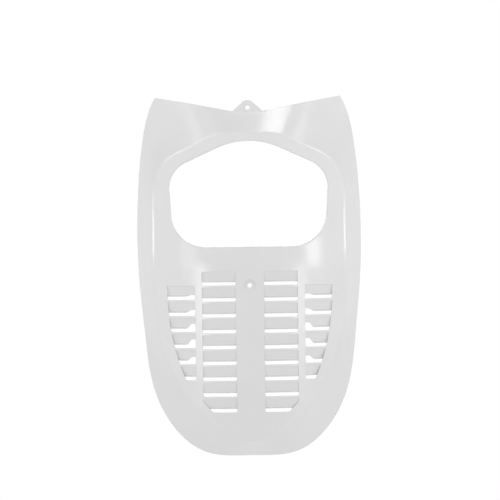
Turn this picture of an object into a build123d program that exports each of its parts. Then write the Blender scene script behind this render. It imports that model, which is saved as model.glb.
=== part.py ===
from build123d import *
from math import cos, hypot, radians, sin, sqrt, tan
import os

os.makedirs("parts", exist_ok=True)

# Scooter leg shield, moulded in one piece from gloss white ABS.
# Millimetres, +Z up, the front faces -Y. The origin is the middle of the seat that
# the screw in the spine pulls against.

# Wall and worked edges
wall = 3.0
crease_radius = 10.0
opening_chamfer = 1.2

# Front face: a body of revolution about an upright axis behind the shield
crown_radius = 300.0
nose_forward = 3.9
nose_height = 45.0
nose_radius = 260.0
headlamp_rake = 15.0
grille_rake = 5.0

# Skirt from the front face back to the rear edge: two loops seen from the front,
# each listed for its right half, from the bottom centre up to the top centre
front_loop_y = -11.4
front_loop = [
    (0, -208), (36, -185), (61, -146), (84, -111), (111, -60), (124.5, 6.5),
    (121.5, 112), (94, 147), (52, 150), (25, 159), (0, 162.5),
]
rear_loop_y = 108.6
rear_loop_tilt = 3.5
rear_loop = [
    (0, -248.3), (67, -242.3), (111, -208), (140.5, -150.5), (153.5, -68), (161, 10.5),
    (162.5, 112), (154.5, 210.5), (138, 270.5), (85, 322), (0, 335),
]

# Top edge with the two ears and the upright tab in its middle, seen from the front
ear_half_width = 138.2
ear_height = 275.0
ear_corner_radius = 6.0
ear_flank_angle = 31.0
top_edge_slope = 12.6
tab_half_width = 21.8
tab_peak_height = 269.4
tab_tip_radius = 12.0
tab_foot_radius = 5.0
tab_hole_radius = 3.25
tab_hole_height = 254.3

# Headlamp opening, seen from the front, with its turned-in lip
opening_peak_height = 215.8
opening_peak_radius = 108.0
opening_brow_corner = (114.6, 164.0)
opening_brow_radius = 39.0
opening_foot_corner = (107.2, 54.3)
opening_foot_radius = 50.0
lip_wall = 2.2
lip_depth = 9.0

# Louvres: bars flush with the front, slats that lean back from them and end cheeks
gap_height = 4.8
gap_corner_radius = 2.5
bar_height = 3.0
slat_root = 1.0
slat_wall = 4.0
slat_step = 0.4
slat_foot_drop = 1.5
cheek_wall = 2.2

# Inner columns, beside the spine, with the depth of a slat's foot at its inner and outer end
inner_column = (20.0, 67.5)
inner_recess = (3.8, 0.8)
inner_gaps = 9
inner_first_gap = 2.5
inner_pitch = 22.5
inner_corner_cut = (13.5, 15.0)

# Outer columns, whose slats have a notch beside the inner edge
outer_column_inner_edge = 77.7
outer_recess = (3.2, 2.2)
outer_column_outer_edge = [(116.5, 0.0), (109.5, -78.0), (91.0, -136.0)]
outer_gaps = 6
outer_first_gap = -17.3
outer_pitch = 22.85
notch_width = 14.0
notch_flat = 3.5
notch_heights = [2.2, 3.8, 7.0, 7.7, 5.6]

# Recessed screw seat in the spine
seat_radius = 8.0
seat_wall = 2.6
screw_hole_radius = 3.25

# Length that reaches through the whole shield
reach = 400.0

crown_axis = Axis((0, crown_radius - nose_forward, 0), (0, 0, 1))
front_plane = Plane((0, front_loop_y, 0), x_dir=(1, 0, 0), z_dir=(0, -1, 0))
rear_normal = Vector(0, -1, 0).rotate(Axis.X, -rear_loop_tilt)
rear_plane = Plane((0, rear_loop_y, 0), x_dir=(1, 0, 0), z_dir=rear_normal)
slat_height = inner_pitch - gap_height - bar_height

loop_lengths = [0]
for (x, z), (next_x, next_z) in zip(rear_loop, rear_loop[1:]):
    loop_lengths.append(loop_lengths[-1] + hypot(next_x - x, next_z - z))
loop_steps = [length / loop_lengths[-1] for length in loop_lengths]


def half_loop(half):
    """A smooth curve through the right half of a loop, level where it meets the middle."""
    first = half[1][0] / loop_steps[1]
    last = half[-2][0] / (loop_steps[-2] - 1)
    return Edge.make_spline(half, tangents=[(first, 0), (last, 0)], parameters=loop_steps, scale=False)


def loop_face(plane, half, inset):
    """The face inside a loop, given by its right half and moved inward by the inset."""
    drawn = half_loop(half)
    moved = []
    for x, z in half:
        along = drawn.tangent_at(Vector(x, z))
        moved.append((x - inset * along.Y, z + inset * along.X))
    right = half_loop(moved)
    return plane * Face(Wire([right, right.mirror(Plane.YZ)]))


def crown(inset):
    """The body behind the front face, whose surface is set back by the inset."""
    with BuildPart() as body:
        with BuildSketch(Plane.YZ):
            with BuildLine():
                nose = CenterArc(
                    (nose_radius - nose_forward, nose_height), nose_radius - inset,
                    180 + grille_rake, -grille_rake - headlamp_rake,
                )
                upper = PolarLine(nose @ 1, reach, 90 - headlamp_rake)
                lower = PolarLine(nose @ 0, reach, grille_rake - 90)
                middle = crown_axis.position.Y
                Polyline(upper @ 1, (middle, (upper @ 1).Y), (middle, (lower @ 1).Y), lower @ 1)
            make_face()
        revolve(axis=crown_axis)
    return body.part


def shield_form(inset):
    """The solid form of the shield, or of its hollow when inset by the wall."""
    # The skirt leans, so its loops also go back by half the inset to keep the wall even
    front = loop_face(front_plane.offset(-inset / 2), front_loop, inset)
    rear = loop_face(rear_plane.offset(-inset / 2), rear_loop, inset)
    with BuildPart() as form:
        loft(sections=[front, rear], ruled=True)
        add(crown(inset), mode=Mode.INTERSECT)
    return form.part


def grille_y(x, z):
    """Depth of the front face below the nose, at a point seen from the front."""
    rake = radians(grille_rake)
    straight = nose_height - nose_radius * sin(rake) - z
    middle = nose_radius * (1 - cos(rake)) - nose_forward + straight * tan(rake)
    axis = crown_axis.position.Y
    return axis - sqrt((axis - middle) ** 2 - x ** 2)


def opening_face(margin):
    """The headlamp opening seen from the front, made larger by the margin."""
    peak = (0, opening_peak_height)
    brow_left = (-opening_brow_corner[0], opening_brow_corner[1])
    foot_left = (-opening_foot_corner[0], opening_foot_corner[1])
    with BuildSketch() as opening:
        with BuildLine():
            Polyline(peak, opening_brow_corner, opening_foot_corner, foot_left, brow_left, close=True)
        make_face()
        fillet(opening.vertices().sort_by_distance(peak)[0], opening_peak_radius)
        for corner in (opening_brow_corner, brow_left):
            fillet(opening.vertices().sort_by_distance(corner)[0], opening_brow_radius)
        for corner in (opening_foot_corner, foot_left):
            fillet(opening.vertices().sort_by_distance(corner)[0], opening_foot_radius)
        if margin:
            offset(amount=margin)
    return opening.sketch


def pockets(region, gaps):
    """The cut-outs of a column, with the bars between them left standing."""
    with BuildSketch() as cuts:
        add(region)
        for gap in gaps[:-1]:
            with Locations((0, gap - (gap_height + bar_height) / 2)):
                Rectangle(reach, bar_height, mode=Mode.SUBTRACT)
        lower_corners = [f.vertices().group_by(Axis.Y)[0] for f in cuts.faces()]
        fillet(lower_corners, gap_corner_radius)
    return cuts.sketch


def louvre_column(region, gaps, recesses, notches):
    """Slats and end cheeks that fill one right-hand column's cut-outs."""
    inner_edge = region.bounding_box().min.X
    outer_edge = region.bounding_box().max.X
    ends = [(inner_edge - cheek_wall, recesses[0]), (outer_edge + cheek_wall, recesses[1])]
    feet = [gap + gap_height / 2 for gap in gaps]
    tops = [feet[0] + slat_height] + [foot - gap_height - bar_height for foot in feet[:-1]]
    rows = [(top + slat_root, foot) for top, foot in zip(tops, feet)]

    with BuildPart() as cheeks:
        for root, foot in rows:
            for x, recess in ends:
                skin_root, skin_foot = grille_y(x, root), grille_y(x, foot)
                with BuildSketch(Plane.YZ.offset(x)):
                    with BuildLine():
                        Polyline(
                            (skin_root + wall / 2, root), (skin_foot + wall / 2, foot),
                            (skin_foot + recess + slat_wall, foot), (skin_root + wall - slat_step, root),
                            close=True,
                        )
                    make_face()
            loft(ruled=True)
        with BuildSketch(Plane.XZ):
            add(region)
            offset(amount=cheek_wall, kind=Kind.INTERSECTION)
            add(region, mode=Mode.SUBTRACT)
        extrude(amount=reach, both=True, mode=Mode.INTERSECT)

    with BuildPart() as column:
        for root, foot in rows:
            for x, recess in ends:
                skin_root, slat_front = grille_y(x, root), grille_y(x, foot) + recess
                with BuildSketch(Plane.YZ.offset(x)):
                    with BuildLine():
                        Polyline(
                            (skin_root + slat_step, root), (slat_front, foot + slat_foot_drop),
                            (slat_front + slat_wall, foot), (skin_root + wall - slat_step, root),
                            close=True,
                        )
                    make_face()
            loft(ruled=True)
        with BuildSketch(Plane.XZ):
            add(region)
            offset(amount=cheek_wall, kind=Kind.INTERSECTION)
        extrude(amount=reach, both=True, mode=Mode.INTERSECT)
        for foot, height in zip(feet, notches):
            with BuildSketch(Plane.XZ):
                with BuildLine():
                    curve = Spline(
                        (inner_edge + notch_width, foot), (inner_edge + notch_flat, foot + height),
                        tangents=[(-1, 0), (-1, 0)],
                    )
                    Polyline(
                        curve @ 1, (inner_edge, foot + height), (inner_edge, foot - gap_height),
                        (inner_edge + notch_width, foot - gap_height), curve @ 0,
                    )
                make_face()
            extrude(amount=reach, both=True, mode=Mode.SUBTRACT)
        add(cheeks.part)
    return column.part


# Front-view outlines of the right-hand louvre columns
inner_gap_heights = [inner_first_gap - inner_pitch * i for i in range(inner_gaps)]
outer_gap_heights = [outer_first_gap - outer_pitch * i for i in range(outer_gaps)]

with BuildSketch() as inner_region:
    left, right = inner_column
    top = inner_gap_heights[0] + gap_height / 2 + slat_height
    bottom = inner_gap_heights[-1] - gap_height / 2
    with BuildLine():
        Polyline(
            (left, top), (right, top), (right, bottom + inner_corner_cut[1]),
            (right - inner_corner_cut[0], bottom), (left, bottom), close=True,
        )
    make_face()

with BuildSketch() as outer_region:
    left = outer_column_inner_edge
    top = outer_gap_heights[0] + gap_height / 2 + slat_height
    bottom = outer_gap_heights[-1] - gap_height / 2
    with BuildLine():
        side = ThreePointArc(*outer_column_outer_edge)
        Polyline(side @ 1, (left, (side @ 1).Y), (left, (side @ 0).Y), side @ 0)
    make_face()
    with BuildLine():
        Polyline((left, bottom), (reach, bottom), (reach, top), (left, top), close=True)
    make_face(mode=Mode.INTERSECT)

inner_louvres = louvre_column(inner_region.sketch, inner_gap_heights, inner_recess, [])
outer_louvres = louvre_column(outer_region.sketch, outer_gap_heights, outer_recess, notch_heights)

# Hollow behind the wall, which leaves the lip round the headlamp opening standing
with BuildPart() as lip_room:
    with BuildSketch(Plane.XZ):
        add(opening_face(lip_wall))
    extrude(amount=reach, both=True)
    add(crown(lip_depth), mode=Mode.SUBTRACT)

with BuildPart() as hollow:
    add(shield_form(wall))
    add(lip_room.part, mode=Mode.SUBTRACT)

with BuildPart() as leg_shield:
    # Outer form, with the crease between the front face and the skirt rounded
    add(shield_form(0))
    fronts = [f for f in leg_shield.faces() if f.geom_type in (GeomType.CONE, GeomType.REVOLUTION)]
    crease = [e for f in fronts for e in f.edges() if e.geom_type == GeomType.BSPLINE]
    fillet(crease, crease_radius)

    # Top edge with its ears
    tab_foot_height = ear_height - (ear_half_width - tab_half_width) * tan(radians(top_edge_slope))
    flank_foot = ear_half_width + reach * tan(radians(ear_flank_angle))
    with BuildSketch(Plane.XZ) as front_view:
        with BuildLine():
            half = Polyline(
                (0, tab_foot_height), (tab_half_width, tab_foot_height), (ear_half_width, ear_height),
                (flank_foot, ear_height - reach), (flank_foot, -reach), (0, -reach),
            )
            mirror(half, about=Plane.YZ)
        make_face()
        for side in (1, -1):
            ear = (side * ear_half_width, ear_height)
            fillet(front_view.vertices().sort_by_distance(ear)[0], ear_corner_radius)
    extrude(amount=reach, both=True, mode=Mode.INTERSECT)

    # Headlamp opening with its front edge eased
    with BuildSketch(Plane.XZ):
        add(opening_face(0))
    extrude(amount=reach, both=True, mode=Mode.SUBTRACT)
    cut_edges = [e for e in leg_shield.edges(Select.LAST) if e.geom_type != GeomType.LINE]
    chamfer([e for e in cut_edges if e.center().Y < rear_loop_y / 2], opening_chamfer)

    add(hollow.part, mode=Mode.SUBTRACT)

    # Louvre columns on both sides of the spine
    with BuildSketch(Plane.XZ):
        add(pockets(inner_region.sketch, inner_gap_heights))
        add(pockets(outer_region.sketch, outer_gap_heights))
        mirror(about=Plane.YZ)
    extrude(amount=rear_loop_y / 2, both=True, mode=Mode.SUBTRACT)
    columns = [inner_louvres, outer_louvres]
    add(columns + [column.mirror(Plane.YZ) for column in columns])

    # Screw seat, sunk into the spine on a short boss
    with BuildSketch(Plane.XZ.offset(-seat_wall)):
        Circle(seat_radius + wall)
    extrude(amount=seat_wall - grille_y(0, 0) - wall / 2)
    with BuildSketch(Plane.XZ):
        Circle(seat_radius)
    extrude(amount=rear_loop_y / 2, mode=Mode.SUBTRACT)
    with BuildSketch(Plane.XZ):
        Circle(screw_hole_radius)
    extrude(amount=rear_loop_y / 2, both=True, mode=Mode.SUBTRACT)

    # Tab with its screw hole, upright on the middle of the top edge
    hood_foot = Vector(0, front_loop_y, front_loop[-1][1])
    hood_run = rear_plane.from_local_coords(Vector(*rear_loop[-1])) - hood_foot
    tab_y = (hood_foot + hood_run * ((tab_foot_height - hood_foot.Z) / hood_run.Z)).Y
    with BuildSketch(Plane.XZ.offset(-tab_y)) as tab:
        flare = tab_half_width + tab_foot_radius
        with BuildLine():
            half = Polyline(
                (0, tab_peak_height), (tab_half_width, tab_foot_height),
                (flare, tab_foot_height + tab_foot_radius * tan(radians(top_edge_slope))),
                (flare, tab_foot_height - wall), (0, tab_foot_height - wall),
            )
            mirror(half, about=Plane.YZ)
        make_face()
        fillet(tab.vertices().sort_by_distance((0, tab_peak_height))[0], tab_tip_radius)
        for side in (1, -1):
            foot = (side * tab_half_width, tab_foot_height)
            fillet(tab.vertices().sort_by_distance(foot)[0], tab_foot_radius)
        with Locations((0, tab_hole_height)):
            Circle(tab_hole_radius, mode=Mode.SUBTRACT)
    extrude(amount=-wall)

leg_shield.part.label = "leg_shield"
export_step(leg_shield.part, "parts/leg_shield.step")
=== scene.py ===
from math import cos, radians, sin

import bpy
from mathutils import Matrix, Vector

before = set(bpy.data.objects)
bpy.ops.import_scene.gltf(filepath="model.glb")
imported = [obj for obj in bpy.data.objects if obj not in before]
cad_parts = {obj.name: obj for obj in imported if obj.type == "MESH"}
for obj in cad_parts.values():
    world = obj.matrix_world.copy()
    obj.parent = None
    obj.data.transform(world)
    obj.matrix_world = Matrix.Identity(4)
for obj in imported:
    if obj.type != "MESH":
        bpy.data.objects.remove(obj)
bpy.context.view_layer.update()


# Leg shield
# One shell, injection-moulded in white ABS in a polished mould and held to the scooter by a
# screw in its spine and one in its top tab.
flow_mark_mm = 60
orange_peel_mm = 12
eased_edge_mm = 0.8
abs_whites = ("#e5e4e5", "#ebeaeb")
abs_roughness = (0.13, 0.19)
abs_ior = 1.53


def linear(hex_colour):
    """An sRGB hex colour as linear red, green, blue and alpha."""
    parts = [int(hex_colour[i:i + 2], 16) / 255 for i in (1, 3, 5)]
    return [c / 12.92 if c <= 0.04045 else ((c + 0.055) / 1.055) ** 2.4 for c in parts] + [1]


def add_node(tree, kind, settings=None, links=None):
    """Adds a shader node, sets its sockets or properties and links its inputs."""
    made = tree.nodes.new(kind)
    for name, value in (settings or {}).items():
        if isinstance(name, int) or name in made.inputs:
            made.inputs[name].default_value = value
        else:
            setattr(made, name, value)
    for name, source in (links or {}).items():
        tree.links.new(source, made.inputs[name])
    return made


# Gloss white injection-moulded ABS: the polished mould gives a mirror-like skin over a milky
# white body, with a faint orange peel and slow flow marks that bend reflections a little.
# The real orange peel is finer and is drawn coarser here, because it would not show.
abs_white = bpy.data.materials.new("gloss white injection-moulded ABS")
abs_white.use_nodes = True
tree = abs_white.node_tree
tree.nodes.clear()
place = add_node(tree, "ShaderNodeTexCoord").outputs["Object"]
flow_marks = add_node(
    tree, "ShaderNodeTexNoise", {"Scale": 1000 / flow_mark_mm, "Detail": 2}, {"Vector": place}
).outputs["Fac"]
white = add_node(tree, "ShaderNodeValToRGB", {}, {"Fac": flow_marks})
for stop, colour in zip(white.color_ramp.elements, abs_whites):
    stop.color = linear(colour)
gloss = add_node(
    tree, "ShaderNodeMapRange", {"To Min": abs_roughness[0], "To Max": abs_roughness[1]},
    {"Value": flow_marks},
)
orange_peel = add_node(
    tree, "ShaderNodeTexNoise", {"Scale": 1000 / orange_peel_mm, "Detail": 1}, {"Vector": place}
)
eased = add_node(tree, "ShaderNodeBevel", {"samples": 6, "Radius": eased_edge_mm / 1000})
skin = add_node(
    tree, "ShaderNodeBump", {"Strength": 0.02, "Distance": 0.001},
    {"Height": orange_peel.outputs["Fac"], "Normal": eased.outputs["Normal"]},
)
body = add_node(
    tree, "ShaderNodeBsdfPrincipled", {"IOR": abs_ior},
    {
        "Base Color": white.outputs["Color"],
        "Roughness": gloss.outputs["Result"],
        "Normal": skin.outputs["Normal"],
    },
)
add_node(tree, "ShaderNodeOutputMaterial", {}, {"Surface": body.outputs["BSDF"]})

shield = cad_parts["leg_shield"]
shield.data.materials.clear()
shield.data.materials.append(abs_white)


# Studio floor
# White paper laid out flat below the hanging shield, matt and slightly fibrous. It takes no part
# in lighting the shield and lies below what the camera sees from the front.
fibre_mm = 5
paper_whites = ("#e2e2e0", "#e8e8e6")
paper_even_share = 0.85
floor_size = 6
floor_height = -0.7

# Matt white backdrop paper: a flat, even pale sheet. Its fibres are drawn coarser than the real
# ones, and most of what the camera sees is its own colour, with a little of the shadow on it.
paper = bpy.data.materials.new("matt white backdrop paper")
paper.use_nodes = True
tree = paper.node_tree
tree.nodes.clear()
place = add_node(tree, "ShaderNodeTexCoord").outputs["Object"]
fibres = add_node(
    tree, "ShaderNodeTexNoise", {"Scale": 1000 / fibre_mm, "Detail": 3}, {"Vector": place}
)
sheet = add_node(tree, "ShaderNodeValToRGB", {}, {"Fac": fibres.outputs["Fac"]})
for stop, colour in zip(sheet.color_ramp.elements, paper_whites):
    stop.color = linear(colour)
matt = add_node(tree, "ShaderNodeBsdfDiffuse", {}, {"Color": sheet.outputs["Color"]})
even = add_node(tree, "ShaderNodeEmission", {}, {"Color": sheet.outputs["Color"]})
seen = add_node(tree, "ShaderNodeLightPath").outputs["Is Camera Ray"]
share = add_node(tree, "ShaderNodeMath", {"operation": "MULTIPLY", 1: paper_even_share}, {0: seen})
pale = add_node(
    tree, "ShaderNodeMixShader", {},
    {0: share.outputs["Value"], 1: matt.outputs["BSDF"], 2: even.outputs["Emission"]},
)
add_node(tree, "ShaderNodeOutputMaterial", {}, {"Surface": pale.outputs["Shader"]})

bpy.ops.mesh.primitive_plane_add(size=floor_size, location=(0, 0, floor_height))
floor = bpy.context.object
floor.name = "floor"
floor.data.materials.append(paper)
floor.visible_diffuse = floor.visible_glossy = floor.visible_shadow = False


# Studio light
# A white room whose light comes from the front and from below more than from above and behind.
# The camera and the gloss see it as plain white, with soft boxes that show as soft patches.
lamp_target = Vector((0, 0.05, 0.02))
lamp_distance = 2.4

# The room's light from a direction: the direction times the stretch, plus the shift, and the
# dot product of that with the direction
room_stretch = (0.24, 0.47, 0.43)
room_shift = (0, -0.32, -0.41)

room = bpy.data.worlds.new("white studio room")
bpy.context.scene.world = room
room.use_nodes = True
tree = room.node_tree
tree.nodes.clear()
way = add_node(tree, "ShaderNodeTexCoord").outputs["Generated"]
lean = add_node(
    tree, "ShaderNodeVectorMath", {"operation": "MULTIPLY_ADD", 1: room_stretch, 2: room_shift},
    {0: way},
)
slope = add_node(
    tree, "ShaderNodeVectorMath", {"operation": "DOT_PRODUCT"}, {0: lean.outputs["Vector"], 1: way}
)
walls = add_node(
    tree, "ShaderNodeMath", {"operation": "MAXIMUM", 1: 0}, {0: slope.outputs["Value"]}
)
ray = add_node(tree, "ShaderNodeLightPath").outputs
mirrored = add_node(
    tree, "ShaderNodeMath", {"operation": "MAXIMUM"},
    {0: ray["Is Glossy Ray"], 1: ray["Is Transmission Ray"]},
)
seen = add_node(
    tree, "ShaderNodeMath", {"operation": "MAXIMUM"},
    {0: ray["Is Camera Ray"], 1: mirrored.outputs["Value"]},
)
strength = add_node(
    tree, "ShaderNodeMix", {"data_type": "FLOAT", 3: 1},
    {0: seen.outputs["Value"], 2: walls.outputs["Value"]},
)
air = add_node(
    tree, "ShaderNodeBackground", {"Color": linear("#ffffff")}, {"Strength": strength.outputs[0]}
)
add_node(tree, "ShaderNodeOutputWorld", {}, {"Surface": air.outputs["Background"]})


def soft_box(name, azimuth, elevation, size, power):
    """An area lamp aimed at the shield, at angles in degrees right of and above the camera."""
    lamp = bpy.data.lights.new(name, "AREA")
    lamp.shape = "RECTANGLE"
    lamp.size, lamp.size_y = size
    lamp.energy = power
    held = bpy.data.objects.new(name, lamp)
    bpy.context.scene.collection.objects.link(held)
    side, up = radians(azimuth), radians(elevation)
    out = Vector((sin(side) * cos(up), -cos(side) * cos(up), sin(up)))
    held.location = lamp_target + lamp_distance * out
    held.rotation_euler = out.to_track_quat("Z", "Y").to_euler()


soft_box("overhead right soft box", 48, 74, (0.85, 0.6), 8.5)
soft_box("overhead left soft box", -54, 60, (0.35, 0.35), 4)
soft_box("upper right soft box", 70, 46, (0.5, 0.9), 5)
soft_box("upper left soft box", -70, 46, (0.5, 0.9), 5)
soft_box("right panel", 86, 10, (1.2, 0.8), 14)
soft_box("left panel", -86, 10, (1.2, 0.8), 14.5)
soft_box("right soft box", 38, 2, (0.35, 0.75), 4.5)
soft_box("left soft box", -36, 0, (0.4, 0.8), 1.8)
soft_box("lower right soft box", 30, -11, (0.3, 0.35), 1.2)
soft_box("lower left soft box", -29, -11, (0.3, 0.4), 1.7)
soft_box("back soft box", 180, 35, (1.2, 0.8), 24)


# Camera
# A long lens three metres in front of the spine screw's seat and about 50 mm above it, turned a
# little about its own line, as the photograph is.
camera_place = (0.001, -3.0, 0.0498)
camera_roll = 0.77
focal_length = 153.5
sensor_width = 36

lens = bpy.data.cameras.new("camera")
lens.sensor_width = sensor_width
lens.lens = focal_length
camera = bpy.data.objects.new("camera", lens)
bpy.context.scene.collection.objects.link(camera)
camera.location = camera_place
camera.rotation_euler = (radians(90), radians(camera_roll), 0)
bpy.context.scene.camera = camera
bpy.context.scene.view_settings.view_transform = "Standard"
